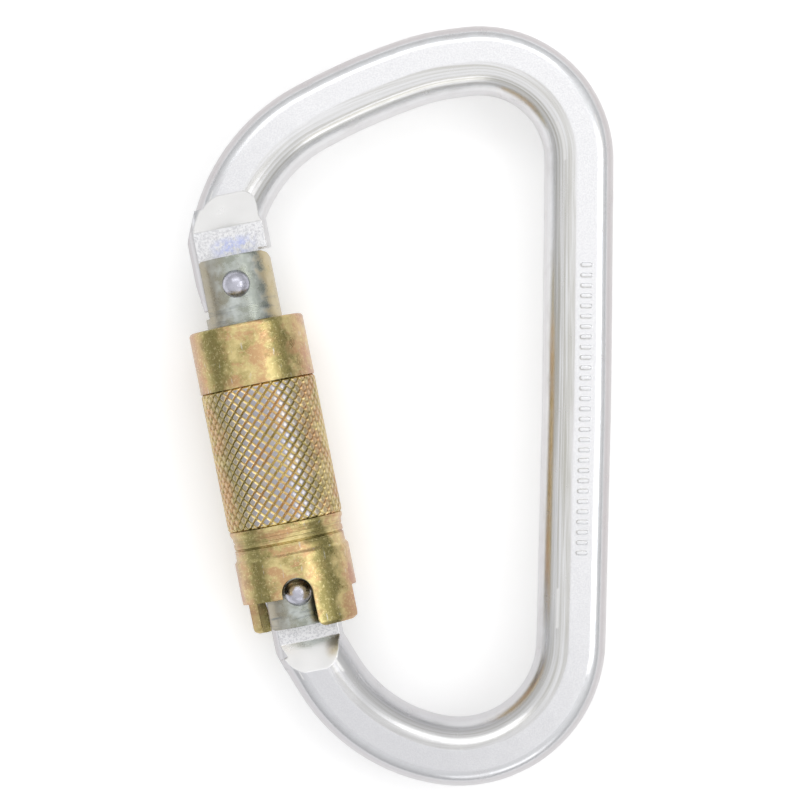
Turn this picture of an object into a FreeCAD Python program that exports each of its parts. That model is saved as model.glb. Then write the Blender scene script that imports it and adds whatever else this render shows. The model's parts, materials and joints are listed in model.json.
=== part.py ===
import FreeCAD, Part
import math
import os

# Locking carabiner, an offset D of forged steel with a spring gate and a knurled locking sleeve.
# It lies flat: X across the rope space, Y along the length, Z through the thickness.
# The gate's parts are drawn upright on the gate's own axis, with the hinge at their origin, and then leaned.

# Driving dimensions, in millimetres and degrees
BAR_HALF_WIDTH = 5.1
BAR_HALF_THICKNESS = 4.95
FLAT_INNER = -0.5
FLAT_OUTER = 2.5
INNER_MID = (-3.85, 3.15)
BEVEL_MID = (3.25, 4.72)
BEVEL_EDGE = (3.95, 4.2)
STUB_LEFT = (-0.2, (-0.71, 3.2))
STUB_RIGHT = (0.3, (0.82, 3.2))
NOSE_HALF_WIDTH = 6.05
NECK_HALF_WIDTH = 5.2
NOSE_BOTTOM = 50.4
NOSE_TOP = 57.5
NOSE_FLAT_END = 54.3
NOSE_RAMP_END = 59.6
NECK_BOTTOM = -11.0
NECK_TOP = -3.0
NECK_FLAT_END = -7.3
NECK_RAMP_END = -12.4
HINGE = FreeCAD.Vector(-14.95, -27.1, 0)
GATE_LEAN = 11.4
TONGUE_HALF = 2.5
SLOT_HALF = 2.62
TONGUE_END = 42.8
TONGUE_INNER = 4.1
SLOT_INNER = 4.3
HINGE_EYE_R = 5.2
CAM_R = 4.75
CAM_OFFSET = (0.92, 0.77)
HOOK_MOUTH = (7.0, 45.2, 45.9)

TICK_COUNT = 29
TICK_PITCH = 1.5
TICK_FIRST = 20.6
TICK_LENGTH = 1.1
TICK_HALF_WIDTH = 0.28
TICK_RISE = 0.16

BARREL_R = 5.55
BARREL_BOTTOM = -5.0
BARREL_TOP = 50.0
BARREL_BORE_R = 3.4
BARREL_BORE_TOP = 36.0
HINGE_SLOT_TOP = 6.6
NOSE_SLOT_BOTTOM = 41.6
LATCH_HEIGHT = 45.8

SHANK_R = 1.2
SHANK_PLAY = 0.06
HOOK_PLAY = 0.15
HEAD_R = 1.95
HEAD_SEAT = 4.9
HEAD_TOP = 6.9
HEAD_BALL_R = 2.08

SLEEVE_R = 8.5
SLEEVE_TOP = 40.0
SKIRT_BOTTOM = -5.4
SKIRT_SHORT_EDGE = -0.5
SKIRT_BORE_R = 7.1
LAND_R = 5.62
LAND_BOTTOM = 3.2
LAND_TOP = 9.5
COLLAR_TOP = 6.0
NECK_R = 8.12
KNURL_BOTTOM = 10.2
KNURL_TOP = 30.9
KNURL_ROOT_R = 7.95
NOTCH_R = 2.25
TAB_START = 15.0
TAB_END = 68.0
TAB_CORNER_R = 1.1
CAP_BOTTOM = 38.3
CAP_TOP = 39.7
CAP_BORE_R = 6.35

WASHER_T = 0.8
RING_BOTTOM = 36.6
RING_T = 0.8
RING_GROOVE_R = 5.2
RING_R = 6.75
RING_GAP = 50.0

SLEEVE_SPRING_R = 6.35
SLEEVE_SPRING_WIRE_R = 0.42
SLEEVE_SPRING_TURNS = 9
GATE_SPRING_R = 2.55
GATE_SPRING_WIRE_R = 0.35
GATE_SPRING_TURNS = 11

PLUNGER_TIP = 5.55
PLUNGER_TIP_R = 2.2
PLUNGER_R = 3.3
PLUNGER_SHOULDER = 8.4
PLUNGER_SEAT = 12.0
PLUNGER_SPIGOT_R = 1.7
PLUNGER_SPIGOT_TOP = 15.0

# The bar's centre line: the nose, the wide end's corners, the spine's middle, the narrow end's corners and the
# hinge. A corner's third number is the radius that rounds it.
BAR_LINE = [
    (-25.9, 24.4, 0),
    (-24.05, 36.6, 24.7),
    (-6.2, 46.3, 92.0),
    (4.4, 50.0, 31.0),
    (26.4, 52.75, 14.6),
    (25.9, 0.45, 400.0),
    (24.6, -54.0, 16.5),
    (-4.95, -48.6, 23.8),
    (-13.45, -34.8, 0),
]
SPINE_CORNER = 5

X_AXIS = FreeCAD.Vector(1, 0, 0)
Y_AXIS = FreeCAD.Vector(0, 1, 0)
Z_AXIS = FreeCAD.Vector(0, 0, 1)
ORIGIN = FreeCAD.Vector(0, 0, 0)
SHORTEST_RUN = 0.02


def polygon_face(points):
    """A flat face from corner points."""
    return Part.Face(Part.makePolygon(points + [points[0]]))


def turned(profile):
    """A solid of revolution about the gate's axis, from (radius, height) corner points."""
    face = polygon_face([FreeCAD.Vector(r, h, 0) for r, h in profile])
    return face.revolve(ORIGIN, Y_AXIS, 360)


def prism(points, half_thickness):
    """A plate through the thickness, from (across, along) corner points."""
    face = polygon_face([FreeCAD.Vector(x, y, -half_thickness) for x, y in points])
    return face.extrude(FreeCAD.Vector(0, 0, 2 * half_thickness))


def disc(x, y, radius, half_thickness):
    """A round plate through the thickness."""
    return Part.makeCylinder(radius, 2 * half_thickness, FreeCAD.Vector(x, y, -half_thickness), Z_AXIS)


def block(x0, x1, y0, y1, half_thickness):
    """A rectangular plate through the thickness."""
    return Part.makeBox(x1 - x0, y1 - y0, 2 * half_thickness, FreeCAD.Vector(x0, y0, -half_thickness))


def along_gate(radius, bottom, top):
    """A cylinder on the gate's axis."""
    return Part.makeCylinder(radius, top - bottom, FreeCAD.Vector(0, bottom, 0), Y_AXIS)


def leaned(shape):
    """Carries a shape from the gate's own axes to the carabiner's."""
    shape = shape.copy()
    shape.rotate(ORIGIN, Z_AXIS, GATE_LEAN)
    shape.translate(HINGE)
    return shape


def bar_section(at):
    """The forged bar: a flat on each face, round inside, with a bevel and a rim outside. at places a point."""
    w = BAR_HALF_WIDTH
    t = BAR_HALF_THICKNESS
    edge_u, edge_z = BEVEL_EDGE
    bevel_u, bevel_z = BEVEL_MID
    inner_u, inner_z = INNER_MID
    return Part.Face(Part.Wire([
        Part.makeLine(at(FLAT_INNER, t), at(FLAT_OUTER, t)),
        Part.Arc(at(FLAT_OUTER, t), at(bevel_u, bevel_z), at(edge_u, edge_z)).toShape(),
        Part.Arc(at(edge_u, edge_z), at(w, 0), at(edge_u, -edge_z)).toShape(),
        Part.Arc(at(edge_u, -edge_z), at(bevel_u, -bevel_z), at(FLAT_OUTER, -t)).toShape(),
        Part.makeLine(at(FLAT_OUTER, -t), at(FLAT_INNER, -t)),
        Part.Arc(at(FLAT_INNER, -t), at(inner_u, -inner_z), at(-w, 0)).toShape(),
        Part.Arc(at(-w, 0), at(inner_u, inner_z), at(FLAT_INNER, t)).toShape(),
    ]))


def bar_face(centre, outward):
    """The bar's section at a place on its centre line."""
    return bar_section(lambda u, z: centre + outward * u + FreeCAD.Vector(0, 0, z))


def bar_pieces():
    """The bar as straights and arcs along its centre line, nose to hinge."""
    points = [FreeCAD.Vector(x, y, 0) for x, y, _ in BAR_LINE]
    pieces = []
    here = points[0]
    for i in range(1, len(points)):
        run = (points[i] - points[i - 1]).normalize()
        outward = FreeCAD.Vector(-run.y, run.x, 0)
        if i == len(points) - 1:
            pieces.append(bar_face(here, outward).extrude(points[i] - here))
            break
        onward = (points[i + 1] - points[i]).normalize()
        turn = math.atan2(run.x * onward.y - run.y * onward.x, run.dot(onward))
        radius = BAR_LINE[i][2]
        tangent = radius * math.tan(abs(turn) / 2)
        stop = points[i] - run * tangent
        if (stop - here).Length > SHORTEST_RUN:
            pieces.append(bar_face(here, outward).extrude(stop - here))
        centre = stop + outward * math.copysign(radius, turn)
        pieces.append(bar_face(stop, outward).revolve(centre, Z_AXIS, math.degrees(turn)))
        here = points[i] + onward * tangent
    return pieces


def stub(half_width, bottom, top, half_thickness=BAR_HALF_THICKNESS):
    """A straight length on the gate's axis, broader than the bar and rounder outside."""

    def at(across, z):
        return FreeCAD.Vector(across * half_width, bottom, z)

    t = BAR_HALF_THICKNESS
    left, left_mid = STUB_LEFT
    right, right_mid = STUB_RIGHT
    face = Part.Face(Part.Wire([
        Part.makeLine(at(left, t), at(right, t)),
        Part.Arc(at(right, t), at(*right_mid), at(1, 0)).toShape(),
        Part.Arc(at(1, 0), at(right_mid[0], -right_mid[1]), at(right, -t)).toShape(),
        Part.makeLine(at(right, -t), at(left, -t)),
        Part.Arc(at(left, -t), at(left_mid[0], -left_mid[1]), at(-1, 0)).toShape(),
        Part.Arc(at(-1, 0), at(*left_mid), at(left, t)).toShape(),
    ]))
    shaft = face.extrude(FreeCAD.Vector(0, top - bottom, 0))
    return shaft.common(block(-9, 9, bottom, top, half_thickness))


def shoulder_cut(tongue_end, flat_end, ramp_end):
    """Both faces cut away to leave the tongue, with a ramp back up to the full bar."""
    past = BAR_HALF_THICKNESS + 3
    rise = BAR_HALF_THICKNESS + 0.35
    outline = [(tongue_end, TONGUE_HALF), (flat_end, TONGUE_HALF), (ramp_end, rise)]
    outline += [(ramp_end, past), (tongue_end, past)]
    face = polygon_face([FreeCAD.Vector(-9, along, z) for along, z in outline])
    upper = face.extrude(FreeCAD.Vector(18, 0, 0))
    return upper.fuse(upper.mirror(ORIGIN, Z_AXIS))


def nose():
    """The nose above the gate, tapered outside, with a tongue that reaches down into the barrel."""
    head = stub(NOSE_HALF_WIDTH, NOSE_BOTTOM, NOSE_TOP)
    head = head.cut(prism([(-7.0, 53.2), (-NOSE_HALF_WIDTH, 53.2), (-3.95, NOSE_TOP), (-7.0, NOSE_TOP)], 9))
    tongue = stub(NOSE_HALF_WIDTH, TONGUE_END, NOSE_BOTTOM + 1, TONGUE_HALF)
    tongue = tongue.cut(block(TONGUE_INNER, 9, TONGUE_END - 1, NOSE_BOTTOM, 9))
    tongue = tongue.cut(prism([(-6.2, 48.0), (-5.5, TONGUE_END), (-7.0, TONGUE_END), (-7.0, 48.0)], 9))
    return head.fuse(tongue)


def hinge_end():
    """The neck below the gate and the round eye that turns on the hinge rivet, with its cam."""
    neck = stub(NECK_HALF_WIDTH, NECK_BOTTOM, NECK_TOP)
    neck = neck.cut(prism([(-7.0, -8.4), (-NECK_HALF_WIDTH, -8.4), (-4.2, NECK_BOTTOM), (-7.0, NECK_BOTTOM)], 9))
    plate = stub(NECK_HALF_WIDTH, NECK_TOP - 1, NECK_TOP + 2, TONGUE_HALF)
    eye = disc(0, 0, HINGE_EYE_R, TONGUE_HALF)
    cam = disc(*CAM_OFFSET, CAM_R, TONGUE_HALF)
    return neck.fuse([plate, eye, cam])


def spine_x(y):
    """Where the spine's centre line is, at a height along the carabiner."""
    x0, y0, _ = BAR_LINE[SPINE_CORNER]
    x1, y1, _ = BAR_LINE[SPINE_CORNER - 1 if y > y0 else SPINE_CORNER + 1]
    return x0 + (x1 - x0) * (y - y0) / (y1 - y0)


def tick_marks():
    """A row of short raised bars, round at their ends, on one face of the spine."""
    bottom = BAR_HALF_THICKNESS - TICK_RISE
    height = 2 * TICK_RISE
    ticks = []
    for i in range(TICK_COUNT):
        y = TICK_FIRST - i * TICK_PITCH
        left = spine_x(y) + (FLAT_INNER + FLAT_OUTER - TICK_LENGTH) / 2
        corner = FreeCAD.Vector(left, y - TICK_HALF_WIDTH, bottom)
        ticks.append(Part.makeBox(TICK_LENGTH, 2 * TICK_HALF_WIDTH, height, corner))
        for x in (left, left + TICK_LENGTH):
            ticks.append(Part.makeCylinder(TICK_HALF_WIDTH, height, FreeCAD.Vector(x, y, bottom), Z_AXIS))
    return ticks


def frame():
    """The forged body: bar, nose with its hook, and hinge tongue with its cam."""
    pieces = bar_pieces()
    body = pieces[0].fuse(pieces[1:] + [leaned(nose()), leaned(hinge_end())])
    body = body.fuse(tick_marks())
    body = body.cut(leaned(shoulder_cut(TONGUE_END - 3, NOSE_FLAT_END, NOSE_RAMP_END)))
    body = body.cut(leaned(shoulder_cut(HINGE_EYE_R + 2, NECK_FLAT_END, NECK_RAMP_END)))
    reach = SHANK_R + HOOK_PLAY
    mouth, low, high = HOOK_MOUTH
    hook = prism([
        (0, LATCH_HEIGHT + reach),
        (0, LATCH_HEIGHT - reach),
        (mouth, low - reach),
        (mouth, high + reach),
    ], 4)
    hook = hook.fuse(disc(0, LATCH_HEIGHT, reach, 4))
    bore = disc(0, 0, SHANK_R + SHANK_PLAY, 4)
    body = body.cut(leaned(hook)).cut(leaned(bore))
    return body.removeSplitter()


def rivet(height):
    """A cross rivet with a ball-like head on both faces of the barrel."""
    shank = disc(0, height, SHANK_R, HEAD_SEAT)
    heads = []
    for face in (1, -1):
        post = Part.makeCylinder(HEAD_R, 3, FreeCAD.Vector(0, height, face * HEAD_SEAT), Z_AXIS * face)
        ball = Part.makeSphere(HEAD_BALL_R, FreeCAD.Vector(0, height, face * (HEAD_TOP - HEAD_BALL_R)))
        heads.append(post.common(ball))
    return leaned(shank.fuse(heads).removeSplitter())


def gate_barrel():
    """The gate's tube, slotted at both ends, with a blind bore for its spring."""
    outline = block(-BARREL_R - 1, BARREL_R + 1, BARREL_BOTTOM, BARREL_TOP, 9)
    corner = BARREL_R + 1
    barrel = along_gate(BARREL_R, BARREL_BOTTOM, BARREL_TOP).common(outline)
    for side in (-1, 1):
        for end, inward in ((BARREL_BOTTOM, 1), (BARREL_TOP, -1)):
            cut = 1.1
            trim = prism([
                (side * (BARREL_R - cut), end),
                (side * corner, end),
                (side * corner, end + inward * (cut + 1)),
                (side * BARREL_R, end + inward * cut),
                (side * (BARREL_R - 0.32 * cut), end + inward * 0.32 * cut),
            ], 9)
            barrel = barrel.cut(trim)
    barrel = barrel.cut(block(-9, 9, BARREL_BOTTOM - 1, HINGE_SLOT_TOP, SLOT_HALF))
    barrel = barrel.cut(block(-9, SLOT_INNER, NOSE_SLOT_BOTTOM, BARREL_TOP + 1, SLOT_HALF))
    barrel = barrel.cut(along_gate(BARREL_BORE_R, HINGE_SLOT_TOP - 1, BARREL_BORE_TOP))
    groove = along_gate(BARREL_R + 1, RING_BOTTOM, RING_BOTTOM + RING_T)
    groove = groove.cut(along_gate(RING_GROOVE_R, RING_BOTTOM, RING_BOTTOM + RING_T))
    barrel = barrel.cut(groove)
    for height in (0, LATCH_HEIGHT):
        barrel = barrel.cut(disc(0, height, SHANK_R, 9))
        for face in (1, -1):
            seat = Part.makeCylinder(HEAD_R, 3, FreeCAD.Vector(0, height, face * HEAD_SEAT), Z_AXIS * face)
            barrel = barrel.cut(seat)
    return leaned(barrel)


def skirt_window(start):
    """The part of the skirt that is cut short, from start degrees right of the front face."""
    sweep = 180 - (TAB_END - TAB_START)
    profile = [(4.0, SKIRT_BOTTOM - 1), (10.0, SKIRT_BOTTOM - 1), (10.0, SKIRT_SHORT_EDGE), (4.0, SKIRT_SHORT_EDGE)]
    face = polygon_face([FreeCAD.Vector(0, h, r) for r, h in profile])
    face.rotate(ORIGIN, Y_AXIS, start)
    return face.revolve(ORIGIN, Y_AXIS, sweep)


def sleeve():
    """The locking sleeve: collars, recessed band for the knurl, grooved neck and notched skirt."""
    edge = 0.45
    profile = [
        (SKIRT_BORE_R, SKIRT_BOTTOM),
        (SLEEVE_R - edge, SKIRT_BOTTOM),
        (SLEEVE_R, SKIRT_BOTTOM + edge),
        (SLEEVE_R, COLLAR_TOP - edge),
        (SLEEVE_R - 0.35, COLLAR_TOP),
        (NECK_R, COLLAR_TOP + 0.7),
        (NECK_R, 7.3), (NECK_R - 0.18, 7.5), (NECK_R, 7.7),
        (NECK_R, 8.3), (NECK_R - 0.18, 8.5), (NECK_R, 8.7),
        (NECK_R, 9.2), (SLEEVE_R - 0.1, 9.7), (SLEEVE_R - 0.1, KNURL_BOTTOM),
        (KNURL_ROOT_R, KNURL_BOTTOM),
        (KNURL_ROOT_R, KNURL_TOP),
        (SLEEVE_R, KNURL_TOP),
        (SLEEVE_R, SLEEVE_TOP - edge),
        (SLEEVE_R - 0.15, SLEEVE_TOP - 0.13),
        (SLEEVE_R - edge, SLEEVE_TOP),
        (SKIRT_BORE_R, SLEEVE_TOP),
        (SKIRT_BORE_R, LAND_TOP),
        (LAND_R, LAND_TOP),
        (LAND_R, LAND_BOTTOM),
        (SKIRT_BORE_R, LAND_BOTTOM),
    ]
    shell = turned(profile)
    notch = disc(0, 0, NOTCH_R, 10).fuse(block(-NOTCH_R, NOTCH_R, SKIRT_BOTTOM - 1, 0, 10))
    shell = shell.cut(notch)
    for start in (TAB_END, TAB_END + 180):
        shell = shell.cut(skirt_window(start))
    corners = []
    for e in shell.Edges:
        middle = e.CenterOfMass
        along = abs(e.tangentAt(e.FirstParameter).y)
        radius = math.hypot(middle.x, middle.z)
        low = abs(middle.y - SKIRT_BOTTOM) < 0.01
        if low and along < 0.01 and e.Length < 1.6 and radius > SKIRT_BORE_R:
            corners.append(e)
    return leaned(shell.makeFillet(TAB_CORNER_R, corners))


def sleeve_cap():
    """The ring pressed into the sleeve's top."""
    body = along_gate(SKIRT_BORE_R, CAP_BOTTOM, CAP_TOP)
    return leaned(body.cut(along_gate(CAP_BORE_R, CAP_BOTTOM, CAP_TOP)))


def thrust_washer():
    """The ring between the sleeve's land and its spring."""
    body = along_gate(SKIRT_BORE_R - 0.15, LAND_TOP, LAND_TOP + WASHER_T)
    return leaned(body.cut(along_gate(LAND_R, LAND_TOP, LAND_TOP + WASHER_T)))


def retaining_ring():
    """The open ring in the barrel's groove that the sleeve spring pushes against."""
    face = polygon_face([
        FreeCAD.Vector(RING_GROOVE_R, RING_BOTTOM, 0),
        FreeCAD.Vector(RING_R, RING_BOTTOM, 0),
        FreeCAD.Vector(RING_R, RING_BOTTOM + RING_T, 0),
        FreeCAD.Vector(RING_GROOVE_R, RING_BOTTOM + RING_T, 0),
    ])
    face.rotate(ORIGIN, Y_AXIS, RING_GAP / 2)
    return leaned(face.revolve(ORIGIN, Y_AXIS, 360 - RING_GAP))


def coil_spring(bottom, top, coil_r, wire_r, turns):
    """A round-wire spring on the gate's axis, between two faces."""
    play = 0.02
    height = top - bottom - 2 * (wire_r + play)
    path = Part.makeHelix(height / turns, height, coil_r)
    start = FreeCAD.Vector(coil_r, 0, 0)
    rise = math.atan2(height / turns, 2 * math.pi * coil_r)
    direction = FreeCAD.Vector(0, math.cos(rise), math.sin(rise))
    ring = Part.Wire(Part.makeCircle(wire_r, start, direction))
    spring = Part.Wire(path).makePipeShell([ring], True, True)
    spring.rotate(ORIGIN, X_AXIS, -90)
    spring.translate(FreeCAD.Vector(0, bottom + wire_r + play, 0))
    return leaned(spring)


def gate_plunger():
    """The plunger that the gate spring drives against the hinge tongue's cam."""
    dome = Part.makeSphere(PLUNGER_TIP_R, FreeCAD.Vector(0, PLUNGER_TIP + PLUNGER_TIP_R, 0))
    body = dome.fuse([
        along_gate(PLUNGER_TIP_R, PLUNGER_TIP + PLUNGER_TIP_R, PLUNGER_SHOULDER),
        along_gate(PLUNGER_R, PLUNGER_SHOULDER, PLUNGER_SEAT),
        along_gate(PLUNGER_SPIGOT_R, PLUNGER_SEAT, PLUNGER_SPIGOT_TOP),
    ])
    return leaned(body.removeSplitter())


def sleeve_spring():
    """The spring that holds the sleeve down over the hinge."""
    return coil_spring(LAND_TOP + WASHER_T, RING_BOTTOM, SLEEVE_SPRING_R, SLEEVE_SPRING_WIRE_R, SLEEVE_SPRING_TURNS)


def gate_spring():
    """The spring in the barrel's bore that closes the gate."""
    return coil_spring(PLUNGER_SEAT, BARREL_BORE_TOP, GATE_SPRING_R, GATE_SPRING_WIRE_R, GATE_SPRING_TURNS)


def main():
    parts = {
        "frame": frame(),
        "gate_barrel": gate_barrel(),
        "hinge_rivet": rivet(0),
        "latch_rivet": rivet(LATCH_HEIGHT),
        "gate_plunger": gate_plunger(),
        "gate_spring": gate_spring(),
        "sleeve": sleeve(),
        "sleeve_cap": sleeve_cap(),
        "sleeve_spring": sleeve_spring(),
        "thrust_washer": thrust_washer(),
        "retaining_ring": retaining_ring(),
    }
    outer = parts["frame"].optimalBoundingBox()
    for shape in parts.values():
        outer.add(shape.optimalBoundingBox())
    centre = FreeCAD.Vector(-outer.Center.x, -outer.Center.y, 0)
    os.makedirs("parts", exist_ok=True)
    for name, shape in parts.items():
        shape.translate(centre)
        shape.exportStep(f"parts/{name}.step")
        print(name, shape.isValid(), len(shape.Solids), round(shape.Volume, 1))
    print("hinge", HINGE + centre)
    print("size", outer)


main()
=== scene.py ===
import bpy
import json
import math
from mathutils import Matrix, Vector


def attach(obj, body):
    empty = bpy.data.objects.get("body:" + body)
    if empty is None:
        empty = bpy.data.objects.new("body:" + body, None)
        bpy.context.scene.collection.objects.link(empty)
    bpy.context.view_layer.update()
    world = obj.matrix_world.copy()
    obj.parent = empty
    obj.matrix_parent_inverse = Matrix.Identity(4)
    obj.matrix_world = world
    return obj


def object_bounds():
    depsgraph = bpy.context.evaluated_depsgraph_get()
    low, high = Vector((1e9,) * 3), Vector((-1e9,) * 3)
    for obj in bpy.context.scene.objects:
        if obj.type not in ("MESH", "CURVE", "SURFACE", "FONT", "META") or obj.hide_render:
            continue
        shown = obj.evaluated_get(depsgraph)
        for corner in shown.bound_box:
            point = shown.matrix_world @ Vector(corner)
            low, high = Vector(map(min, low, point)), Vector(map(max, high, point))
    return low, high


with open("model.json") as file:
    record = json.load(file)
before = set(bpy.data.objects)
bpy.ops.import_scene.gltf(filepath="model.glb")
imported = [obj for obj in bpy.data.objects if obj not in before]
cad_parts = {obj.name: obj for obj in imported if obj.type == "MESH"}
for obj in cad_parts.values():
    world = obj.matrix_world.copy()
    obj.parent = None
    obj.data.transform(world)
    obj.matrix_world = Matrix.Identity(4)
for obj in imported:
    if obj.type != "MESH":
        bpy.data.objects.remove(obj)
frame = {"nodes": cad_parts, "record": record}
CAD_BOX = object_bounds()

MM = 0.001
JOINTS = {joint["name"]: joint for joint in frame["record"]["behaviour"]["joints"]}
HINGE = Vector(JOINTS["gate_swing"]["pos_m"])
GATE_AXIS = Vector(JOINTS["sleeve_twist"]["axis"]).normalized()
LEAN = math.atan2(-GATE_AXIS.x, GATE_AXIS.y)
GATE_FRAME = Matrix.Translation(HINGE) @ Matrix.Rotation(LEAN, 4, "Z")

# The camera looks straight down on the carabiner, framed a little above its middle
VIEW_WIDTH = 117.8 * MM
VIEW_CENTRE = (-0.07 * MM, 0.88 * MM)
LENS = 150.0
SENSOR = 36.0

# The studio: greys of the surroundings, from the horizon up to straight overhead
SKY_LOW = (0.52, 0.51, 0.51)
SKY_GREYS = ((0.04, 0.48), (0.13, 0.52), (0.25, 0.64), (0.55, 0.78), (0.85, 0.90))
SKY_TOP = (0.92, 0.92, 0.925)
SKY_STRENGTH = 1.08

# Each lamp's place, its two sides and its power, in metres and watts
LAMPS = {
    "key": ((-0.05, 0.60, 0.82), (1.0, 0.26), 1.2),
    "fill": ((0.70, 0.0, 0.80), (0.45, 0.5), 1.3),
    "rim": ((0.3, -0.9, 0.45), (0.7, 0.3), 0.6),
}

FLOOR_SIZE = 6.0
FLOOR_DROP = 0.02 * MM
FLOOR_GLOW = 0.2
FLOOR_DARK = (0.96, 0.96, 0.96)
FLOOR_LIGHT = (0.98, 0.98, 0.98)

# The knurled band: heights along the gate from the hinge, and radii about the gate's axis
KNURL_BOTTOM = 10.2 * MM
KNURL_TOP = 30.9 * MM
KNURL_ROOT = 8.05 * MM
KNURL_CREST = 8.5 * MM
KNURL_INSIDE = 7.9 * MM

# Diamonds round the band, mesh steps across each, and the share of one that a sloped side takes
KNURL_STARTS = 34
KNURL_STEPS = 12
KNURL_SLOPE = 0.17

# The share of the full height left in a shallow groove, and at the band's two ends
KNURL_SHALLOW = 0.4
KNURL_END = 0.35
KNURL_END_ROWS = 3

# The sleeve's neck: its height along the gate and the pitch of its fine cuts, in millimetres
NECK_MIDDLE = 8.0
NECK_PITCH = 0.42

# Where the ramps beside the gate and the violet tint are, along the gate from the hinge, in millimetres
RAMP_NOSE = 56.95
RAMP_HINGE = -9.85
RAMP_REACH = 2.7
TINT_NOSE = 51.4
TINT_ACROSS = 0.6

# How squarely the bar's faces look up or down: 0 is its side and 1 its flat
CREASE_FACING = 0.60
RAMP_FACING = 0.885

# Plating rounds every hard edge by this much
EDGE_EASE = 0.3 * MM

# Zinc on the forged bar
CLEAN_ZINC = (0.80, 0.81, 0.83)
CLOUDED_ZINC = (0.72, 0.72, 0.735)
# Light end of the painted reflection streaks inside the bar, and the plain zinc of the stamped shoulders
BRIGHT_ZINC = (0.84, 0.84, 0.85)
# Dark end of the painted reflection streaks inside the bar
REFLECTION_STREAK_DARK = (0.56, 0.55, 0.51)
# Painted shade on the bar's sides
RIM_PAINTED_SHADE = (0.47, 0.44, 0.445)
# Painted shade line along the bar's outer crease
CREASE_PAINTED_SHADE = (0.24, 0.22, 0.21)
GRAIN_DARK = (0.76, 0.76, 0.78)
GRAIN_LIGHT = (0.87, 0.87, 0.88)
# Darker zinc towards the lower left
LOWER_LEFT_ZINC = (0.52, 0.52, 0.545)
GROUND_STEEL = (0.86, 0.855, 0.85)
STAMPED_SPECK = (0.60, 0.60, 0.62)
VIOLET = (0.44, 0.50, 0.84)

# Zinc on the gate's tube
TUBE_DARK = (0.34, 0.36, 0.31)
TUBE_LIGHT = (0.58, 0.61, 0.59)
TUBE_TAN = (0.36, 0.315, 0.235)
# Painted dark reflection streak down the tube, right of the middle
TUBE_REFLECTION_DARK = (0.25, 0.27, 0.24)
TUBE_GOLD = (0.55, 0.43, 0.22)
TUBE_STREAK = (0.16, 0.18, 0.19)

# Yellow passivated zinc on the sleeve
GOLD_DARK = (0.38, 0.31, 0.12)
GOLD_LIGHT = (0.72, 0.59, 0.28)
COPPER = (0.58, 0.35, 0.185)
# Painted dark reflection bands down the sleeve, in the plating's olive
OLIVE_PAINTED_REFLECTION = (0.235, 0.205, 0.074)
# Salmon pink at the very sides: partly the plating's own tint, partly a painted iridescent sheen
SALMON_TINT_AND_SHEEN = (0.44, 0.235, 0.165)
WORN_SPECK = (0.86, 0.76, 0.42)
SCRATCH_GREY = (0.66, 0.66, 0.66)
# Painted shade in the knurl's grooves, in the plating's olive
GROOVE_PAINTED_SHADE = (0.26, 0.19, 0.06)
# Painted highlight on the knurl's ridges in front
RIDGE_PAINTED_HIGHLIGHT = (0.86, 0.66, 0.30)
CREST_SILVER = (0.40, 0.39, 0.42)

# Where the two painted dark olive reflection bands run: across the gate in millimetres, and how far each
# reaches
OLIVE_REFLECTION_BANDS = ((4.4, 1.9), (-5.2, 2.4))


# ---------------------------------------------------------------- shader helpers

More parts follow.
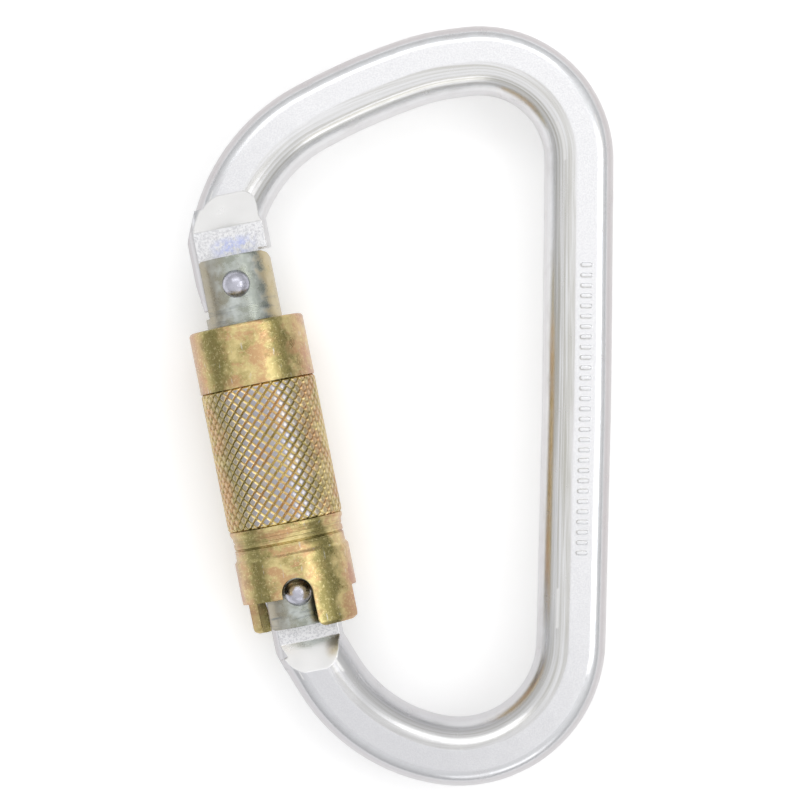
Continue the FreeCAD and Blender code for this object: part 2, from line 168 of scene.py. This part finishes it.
class Nodes:
    """A material's node tree, with short calls for the nodes used here."""

    def __init__(self, name):
        self.material = bpy.data.materials.new(name)
        self.material.use_nodes = True
        self.tree = self.material.node_tree
        self.shader = self.tree.nodes["Principled BSDF"]

    def put(self, socket, value):
        """Sets a socket to a number or colour, or links it to another node's output."""
        if isinstance(value, bpy.types.NodeSocket):
            self.tree.links.new(value, socket)
        elif isinstance(value, (tuple, list)) and len(value) == 3 and socket.type == "RGBA":
            socket.default_value = (*value, 1.0)
        else:
            socket.default_value = value

    def add(self, kind, inputs=None, **settings):
        """A new node with its inputs and settings filled in."""
        node = self.tree.nodes.new(kind)
        for key, value in settings.items():
            setattr(node, key, value)
        for key, value in (inputs or {}).items():
            self.put(node.inputs[key], value)
        return node

    def vector_maths(self, operation, inputs, output=0):
        """One output of a vector sum or product."""
        return self.add("ShaderNodeVectorMath", inputs, operation=operation).outputs[output]

    def in_millimetres(self, vector):
        """A vector in metres turned into millimetres."""
        return self.vector_maths("SCALE", {0: vector, "Scale": 1000.0})

    def part_space(self):
        """Position from the carabiner's middle in millimetres."""
        return self.in_millimetres(self.add("ShaderNodeTexCoord").outputs["Object"])

    def gate_space(self):
        """Position from the hinge in millimetres: x across the gate, y along it, z through it."""
        place = self.add("ShaderNodeTexCoord").outputs["Object"]
        shifted = self.vector_maths("SUBTRACT", {0: place, 1: tuple(HINGE)})
        turned = self.add("ShaderNodeVectorRotate", {
            "Vector": shifted, "Axis": (0.0, 0.0, 1.0), "Angle": -LEAN,
        }, rotation_type="AXIS_ANGLE")
        return self.in_millimetres(turned.outputs[0])

    def split(self, vector):
        """A vector's three parts."""
        return self.add("ShaderNodeSeparateXYZ", {0: vector}).outputs

    def stretched(self, vector, x, y, z):
        """A vector with its three parts multiplied."""
        return self.vector_maths("MULTIPLY", {0: vector, 1: (x, y, z)})

    def dot(self, a, b):
        """The dot product of two vectors."""
        return self.vector_maths("DOT_PRODUCT", {0: a, 1: b}, "Value")

    def noise(self, vector, scale, detail=3.0, roughness=0.55):
        """A cloudy pattern from 0 to 1."""
        return self.add("ShaderNodeTexNoise", {
            "Vector": vector, "Scale": scale, "Detail": detail, "Roughness": roughness,
        }).outputs["Fac"]

    def maths(self, operation, a, b=0.0):
        """One sum on numbers."""
        return self.add("ShaderNodeMath", {0: a, 1: b}, operation=operation).outputs[0]

    def product(self, a, b):
        """Two numbers multiplied."""
        return self.maths("MULTIPLY", a, b)

    def remap(self, value, low, high, to_low=0.0, to_high=1.0):
        """A value moved from one range to another, and held inside it."""
        return self.add("ShaderNodeMapRange", {
            "Value": value, "From Min": low, "From Max": high, "To Min": to_low, "To Max": to_high,
        }, clamp=True).outputs[0]

    def apart(self, a, b):
        """How far two numbers are apart."""
        return self.maths("ABSOLUTE", self.maths("SUBTRACT", a, b))

    def stripe(self, value, middle, full, gone, strength=1.0):
        """Full strength up to a distance from the middle, fading to 0 farther out."""
        return self.remap(self.apart(value, middle), full, gone, strength, 0.0)

    def strayed(self, value, cloud, reach):
        """A value shifted by a cloudy pattern, so that what follows it has no straight edge."""
        return self.maths("ADD", value, self.product(self.maths("SUBTRACT", cloud, 0.5), reach))

    def blend(self, factor, a, b):
        """Colour a where the factor is 0, and colour b where it is 1."""
        node = self.add("ShaderNodeMix", data_type="RGBA")
        self.put(node.inputs[0], factor)
        self.put(node.inputs[6], a)
        self.put(node.inputs[7], b)
        return node.outputs[2]

    def blend_numbers(self, factor, a, b):
        """Number a where the factor is 0, and number b where it is 1."""
        return self.add("ShaderNodeMix", {0: factor, 2: a, 3: b}, data_type="FLOAT").outputs[0]

    def bump(self, height, distance, strength, normal=None):
        """A normal tilted by a height pattern, on top of another normal if one is given."""
        inputs = {"Height": height, "Distance": distance, "Strength": strength}
        if normal is not None:
            inputs["Normal"] = normal
        return self.add("ShaderNodeBump", inputs).outputs[0]

    def eased(self):
        """Normals that round every hard edge a little, as plating does."""
        return self.add("ShaderNodeBevel", {"Radius": EDGE_EASE}, samples=6).outputs[0]

    def finish(self, colour, roughness, normal=None, metallic=1.0):
        """Connects the shader, and gives the material back."""
        self.put(self.shader.inputs["Base Color"], colour)
        self.put(self.shader.inputs["Roughness"], roughness)
        self.put(self.shader.inputs["Metallic"], metallic)
        if normal is not None:
            self.put(self.shader.inputs["Normal"], normal)
        return self.material


# ---------------------------------------------------------------- materials

def forged_steel():
    """Bright zinc on forged steel: grained flats, painted reflection streaks inside, painted shade on the
    sides and along the crease outside, darker towards the lower left, stamped shoulders.
    """
    n = Nodes("forged_steel")
    place = n.part_space()
    gate = n.split(n.gate_space())
    normal = n.eased()
    facing = n.maths("ABSOLUTE", n.split(normal)[2])
    outward = n.dot(normal, n.stretched(place, 1, 1, 0))
    inside = n.remap(outward, 0.0, -2.0)
    outside = n.remap(outward, 0.0, 2.0)
    flat = n.remap(facing, 0.975, 0.992)
    side = n.remap(facing, 0.62, 0.42)

    # Lines drawn along the bar, painted in as reflection streaks inside and also used as a bump: the
    # normal's tilt says how far round the section a point is
    round_section = n.add("ShaderNodeCombineXYZ", {0: n.product(facing, 26.0)}).outputs[0]
    drift = n.stretched(place, 0.03, 0.03, 0.03)
    lines = n.noise(n.vector_maths("ADD", {0: round_section, 1: drift}), 1.0, 3.0, 0.7)
    blotch = n.noise(place, 0.35, 3.0)
    clean = n.blend(n.remap(blotch, 0.45, 0.7), CLEAN_ZINC, CLOUDED_ZINC)
    painted_reflection_streaks = n.blend(n.remap(lines, 0.38, 0.60), REFLECTION_STREAK_DARK, BRIGHT_ZINC)
    inner = n.product(inside, n.remap(facing, 0.66, 0.80, 0.25, 1.0))
    polished = n.blend(inner, clean, painted_reflection_streaks)
    # Painted shade on the bar's sides, weaker on the inside
    rim = n.product(side, n.remap(inside, 0.0, 1.0, 1.0, 0.4))
    polished = n.blend(rim, polished, RIM_PAINTED_SHADE)
    # A painted shade line along the crease on the outside
    crease = n.stripe(facing, CREASE_FACING, 0.02, 0.085, 0.6)
    polished = n.blend(n.product(crease, outside), polished, CREASE_PAINTED_SHADE)

    # The flats are grained, and the whole bar darkens towards the lower left
    grain = n.noise(place, 5.5, 5.0, 0.7)
    grained = n.blend(n.remap(grain, 0.42, 0.60), GRAIN_DARK, GRAIN_LIGHT)
    colour = n.blend(flat, polished, grained)
    toward_lower_left = n.strayed(n.dot(place, (0.8, 0.6, 0.0)), blotch, 20.0)
    colour = n.blend(n.remap(toward_lower_left, 14.0, -26.0, 0.0, 0.5), colour, LOWER_LEFT_ZINC)

    # The ramps at both ends of the gate are ground smooth
    from_ramp = n.maths("MINIMUM", n.apart(gate[1], RAMP_NOSE), n.apart(gate[1], RAMP_HINGE))
    near = n.remap(from_ramp, RAMP_REACH, RAMP_REACH + 0.3, 1.0, 0.0)
    ramp = n.product(near, n.stripe(facing, RAMP_FACING, 0.01, 0.03))
    colour = n.blend(ramp, colour, GROUND_STEEL)

    # The stamped shoulders beside the barrel are speckled, with a violet tint at the nose
    height = n.maths("ABSOLUTE", gate[2])
    stamped = n.product(flat, n.remap(height, 3.2, 2.9))
    speckle = n.remap(n.noise(place, 3.4, 5.0, 0.85), 0.47, 0.56)
    stamp = n.blend(speckle, BRIGHT_ZINC, STAMPED_SPECK)
    patchy = n.remap(n.noise(place, 1.0, 3.0), 0.38, 0.56)
    tint = n.product(n.stripe(gate[1], TINT_NOSE, 0.5, 1.7), patchy)
    tint = n.product(n.stripe(gate[0], TINT_ACROSS, 1.2, 3.8), tint)
    stamp = n.blend(n.product(tint, 0.7), stamp, VIOLET)
    colour = n.blend(stamped, colour, stamp)

    gloss = n.remap(blotch, 0.3, 0.7, 0.18, 0.28)
    depth = n.product(grain, n.remap(flat, 0.0, 1.0, 0.08, 1.0))
    normal = n.bump(depth, 0.05 * MM, 0.8, normal)
    normal = n.bump(n.product(lines, inner), 0.06 * MM, 0.6, normal)
    return n.finish(colour, n.blend_numbers(flat, gloss, 0.46), normal)


def barrel_steel():
    """Turned tube: pale greenish zinc, tan on the left, a painted dark reflection streak right of the
    middle, gold at its right edge.
    """
    n = Nodes("barrel_steel")
    place = n.gate_space()
    parts = n.split(place)
    lines = n.noise(n.stretched(place, 0.15, 6.0, 0.15), 2.2, 3.0)
    blotch = n.noise(place, 0.42, 4.0, 0.6)
    across = n.strayed(parts[0], blotch, 5.0)
    colour = n.blend(n.remap(blotch, 0.38, 0.62), TUBE_DARK, TUBE_LIGHT)
    colour = n.blend(n.remap(across, -1.0, -4.0, 0.0, 0.8), colour, TUBE_TAN)
    # Painted dark reflection streak down the tube, right of the middle
    colour = n.blend(n.stripe(across, 2.4, 0.3, 1.5, 0.8), colour, TUBE_REFLECTION_DARK)
    colour = n.blend(n.remap(across, 3.3, 4.3, 0.0, 0.7), colour, TUBE_GOLD)

    # Dark streaks round the tube, just above the sleeve
    streak = n.remap(n.noise(n.stretched(place, 0.25, 1.6, 0.25), 0.8, 4.0, 0.7), 0.52, 0.68, 0.0, 0.7)
    low = n.remap(parts[1], 45.0, 41.0)
    colour = n.blend(n.product(streak, low), colour, TUBE_STREAK)
    normal = n.bump(lines, 0.03 * MM, 0.5, n.eased())
    return n.finish(colour, n.remap(blotch, 0.3, 0.7, 0.22, 0.36), normal)


def rivet_steel():
    """Peened rivet heads: blue-grey steel with a dimpled crown."""
    n = Nodes("rivet_steel")
    place = n.part_space()
    colour = n.blend(n.noise(place, 1.1), (0.42, 0.42, 0.48), (0.62, 0.62, 0.70))
    normal = n.bump(n.noise(place, 1.3, 2.0), 0.16 * MM, 0.6)
    return n.finish(colour, n.remap(n.noise(place, 3.0), 0.3, 0.7, 0.24, 0.38), normal)


def plain_steel(name, low, high, roughness):
    """Machined or drawn steel that is mostly hidden."""
    n = Nodes(name)
    place = n.part_space()
    colour = n.blend(n.noise(place, 1.4), low, high)
    return n.finish(colour, roughness, n.bump(n.noise(place, 6.0), 0.03 * MM, 0.5))


def passivated(n, place, flush):
    """Yellow passivated zinc: gold and copper clouds, painted dark reflection bands in olive, and salmon
    pink at the very sides that is partly the plating's tint and partly a painted iridescent sheen.

    Gives the colour and the clouds. flush is how strong the pink gets.
    """
    side = n.split(place)[0]
    cloud = n.noise(place, 0.28, 4.0, 0.6)
    across = n.strayed(side, cloud, 6.0)
    base = n.blend(n.remap(cloud, 0.36, 0.54), GOLD_DARK, GOLD_LIGHT)
    copper = n.remap(n.noise(n.stretched(place, 1.0, 1.5, 1.0), 0.24, 6.0, 0.72), 0.47, 0.57, 0.0, 0.9)
    base = n.blend(copper, base, COPPER)
    # Painted dark reflection bands down the sleeve, in olive
    for middle, reach in OLIVE_REFLECTION_BANDS:
        base = n.blend(n.stripe(across, middle, 0.6, reach, 0.9), base, OLIVE_PAINTED_REFLECTION)
    uneven = n.remap(n.noise(place, 0.22, 3.0), 0.38, 0.62, 0.25, 1.0)
    # Salmon pink at the sides: partly the plating's own tint, partly a painted iridescent sheen
    edge = n.remap(n.maths("ABSOLUTE", side), 6.2, 8.0, 0.0, flush)
    return n.blend(n.product(edge, uneven), base, SALMON_TINT_AND_SHEEN), cloud


def sleeve_zinc():
    """The sleeve's plated collars, with a speckle of wear, fine turning lines and a lathe-cut neck."""
    n = Nodes("sleeve_zinc")
    place = n.gate_space()
    along = n.split(place)[1]
    colour, cloud = passivated(n, place, 0.9)
    speck = n.remap(n.noise(place, 2.6, 6.0, 0.8), 0.54, 0.66, 0.0, 0.75)
    colour = n.blend(speck, colour, WORN_SPECK)
    scratch = n.remap(n.noise(n.stretched(place, 1.0, 0.2, 1.0), 1.8, 3.0), 0.66, 0.72, 0.0, 0.5)
    colour = n.blend(scratch, colour, SCRATCH_GREY)
    lines = n.noise(n.stretched(place, 0.12, 7.0, 0.12), 2.4, 2.0)
    normal = n.bump(lines, 0.03 * MM, 0.45, n.eased())
    normal = n.bump(n.noise(place, 2.2, 4.0), 0.05 * MM, 0.7, normal)
    cuts = n.maths("SINE", n.product(along, 2 * math.pi / NECK_PITCH))
    neck = n.stripe(along, NECK_MIDDLE, 1.0, 1.4)
    normal = n.bump(n.product(cuts, neck), 0.06 * MM, 0.9, normal)
    return n.finish(colour, n.remap(cloud, 0.3, 0.7, 0.24, 0.36), normal)


def knurl_zinc():
    """The same plating on the knurl, worn to silver on the crests in front, with painted shade in the
    grooves and a painted highlight on the ridges in front.
    """
    n = Nodes("knurl_zinc")
    place = n.gate_space()
    colour, cloud = passivated(n, place, 0.2)
    height = n.add("ShaderNodeAttribute", attribute_name="crest").outputs["Fac"]
    front = n.remap(n.maths("ABSOLUTE", n.split(place)[0]), 3.5, 6.8, 1.0, 0.15)
    rubbed = n.product(front, n.remap(cloud, 0.3, 0.55, 0.7, 1.0))
    # Painted shade in the grooves
    colour = n.blend(n.remap(height, 0.0, 0.45, 0.6, 0.0), colour, GROOVE_PAINTED_SHADE)
    # Painted highlight on the ridges in front
    colour = n.blend(n.product(n.remap(height, 0.4, 0.75, 0.0, 0.7), front), colour, RIDGE_PAINTED_HIGHLIGHT)
    colour = n.blend(n.product(n.remap(height, 0.86, 0.95), rubbed), colour, CREST_SILVER)
    normal = n.bump(n.noise(place, 4.0, 3.0), 0.03 * MM, 0.5)
    return n.finish(colour, n.remap(height, 0.0, 1.0, 0.30, 0.22), normal)


def finish_nodes():
    """Gives each CAD node its plating."""
    finishes = {
        "forged_steel": forged_steel(),
        "barrel_steel": barrel_steel(),
        "rivet_steel": rivet_steel(),
        "inner_steel": plain_steel("inner_steel", (0.42, 0.42, 0.43), (0.58, 0.58, 0.60), 0.35),
        "spring_steel": plain_steel("spring_steel", (0.22, 0.22, 0.23), (0.34, 0.34, 0.35), 0.3),
        "sleeve_zinc": sleeve_zinc(),
    }
    for part in frame["record"]["subparts"]:
        node = frame["nodes"][part["node"]]
        for slot in node.material_slots:
            slot.material = finishes[part["material_slot"]]


# ---------------------------------------------------------------- the knurled band

def knurl_height(turn, along):
    """0 in a groove and 1 on a diamond's flat crest. turn is in turns, along in pitches."""
    shallow = (turn * KNURL_STARTS + along) % 1.0
    deep = (turn * KNURL_STARTS - along) % 1.0
    rise_shallow = min(min(shallow, 1.0 - shallow) / KNURL_SLOPE, 1.0)
    rise_deep = min(min(deep, 1.0 - deep) / KNURL_SLOPE, 1.0)
    return rise_deep * (KNURL_SHALLOW + (1.0 - KNURL_SHALLOW) * rise_shallow)


def ring(radius, y, angle):
    """A point on a ring about the gate's axis."""
    return (radius * math.sin(angle), y, radius * math.cos(angle))


def knurl_band():
    """The diamond knurl cut round the sleeve, as a closed band in the sleeve's recess."""
    around = KNURL_STARTS * KNURL_STEPS
    angles = [2 * math.pi * i / around for i in range(around)]
    length = KNURL_TOP - KNURL_BOTTOM
    pitch = 2 * math.pi * KNURL_CREST / KNURL_STARTS
    rows = round(length / pitch * KNURL_STEPS)
    verts = []
    crest = []
    for j in range(rows + 1):
        y = KNURL_BOTTOM + length * j / rows
        from_end = min(min(j, rows - j) / KNURL_END_ROWS, 1.0)
        cut = KNURL_END + (1 - KNURL_END) * from_end
        for i, angle in enumerate(angles):
            h = knurl_height(i / around, y / pitch) * cut
            verts.append(ring(KNURL_ROOT + (KNURL_CREST - KNURL_ROOT) * h, y, angle))
            crest.append(h)

    # The band's plain inner wall
    for y in (KNURL_TOP, KNURL_BOTTOM):
        verts.extend(ring(KNURL_INSIDE, y, angle) for angle in angles)
        crest.extend([0.0] * around)
    faces = []
    loops = rows + 3
    for j in range(loops):
        a = j * around
        b = ((j + 1) % loops) * around
        for i in range(around):
            k = (i + 1) % around
            faces.append((a + i, a + k, b + k, b + i))
    mesh = bpy.data.meshes.new("sleeve_knurl")
    mesh.from_pydata(verts, [], faces)
    mesh.transform(GATE_FRAME)
    layer = mesh.attributes.new("crest", "FLOAT", "POINT")
    layer.data.foreach_set("value", crest)
    mesh.polygons.foreach_set("use_smooth", [True] * len(mesh.polygons))
    mesh.update()
    band = bpy.data.objects.new("sleeve_knurl", mesh)
    bpy.context.collection.objects.link(band)
    mesh.materials.append(knurl_zinc())
    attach(band, "locking_sleeve")


# ---------------------------------------------------------------- camera, light and floor

def camera():
    """A long lens straight above the carabiner."""
    data = bpy.data.cameras.new("camera")
    data.lens = LENS
    data.sensor_width = SENSOR
    data.clip_start = 0.01
    data.clip_end = 20.0
    eye = bpy.data.objects.new("camera", data)
    eye.location = (VIEW_CENTRE[0], VIEW_CENTRE[1], VIEW_WIDTH * LENS / SENSOR)
    bpy.context.collection.objects.link(eye)
    bpy.context.scene.camera = eye


def softbox(name, place, size, power):
    """A rectangular light that faces the carabiner."""
    data = bpy.data.lights.new(name, "AREA")
    data.shape = "RECTANGLE"
    data.size = size[0]
    data.size_y = size[1]
    data.energy = power
    lamp = bpy.data.objects.new(name, data)
    lamp.location = place
    lamp.rotation_euler = (-Vector(place)).to_track_quat("-Z", "Y").to_euler()
    bpy.context.collection.objects.link(lamp)


def surroundings():
    """A pale world that brightens overhead."""
    world = bpy.data.worlds.new("studio")
    world.use_nodes = True
    tree = world.node_tree
    sky = tree.nodes["Background"]
    up = tree.nodes.new("ShaderNodeTexCoord")
    split = tree.nodes.new("ShaderNodeSeparateXYZ")
    ramp = tree.nodes.new("ShaderNodeValToRGB")
    tree.links.new(up.outputs["Generated"], split.inputs[0])
    tree.links.new(split.outputs["Z"], ramp.inputs["Fac"])
    shades = ramp.color_ramp.elements
    shades[0].color = (*SKY_LOW, 1)
    shades[1].color = (*SKY_TOP, 1)
    for height, grey in SKY_GREYS:
        shades.new(height).color = (grey, grey, grey, 1)
    tree.links.new(ramp.outputs["Color"], sky.inputs["Color"])
    sky.inputs["Strength"].default_value = SKY_STRENGTH
    bpy.context.scene.world = world


def pale_floor():
    """A white floor just under the carabiner, with a faint glow."""
    low = CAD_BOX[0].z
    bpy.ops.mesh.primitive_plane_add(size=FLOOR_SIZE, location=(0, 0, low - FLOOR_DROP))
    floor = bpy.context.object
    floor.name = "floor"
    n = Nodes("floor")
    tone = n.blend(n.noise(n.part_space(), 0.02), FLOOR_DARK, FLOOR_LIGHT)
    n.put(n.shader.inputs["Emission Color"], (1.0, 1.0, 1.0))
    n.put(n.shader.inputs["Emission Strength"], FLOOR_GLOW)
    floor.data.materials.append(n.finish(tone, 0.7, metallic=0.0))


camera()
finish_nodes()
knurl_band()
surroundings()
for lamp_name, (place, size, power) in LAMPS.items():
    softbox(lamp_name, place, size, power)
pale_floor()
bpy.context.scene.view_settings.view_transform = "Standard"
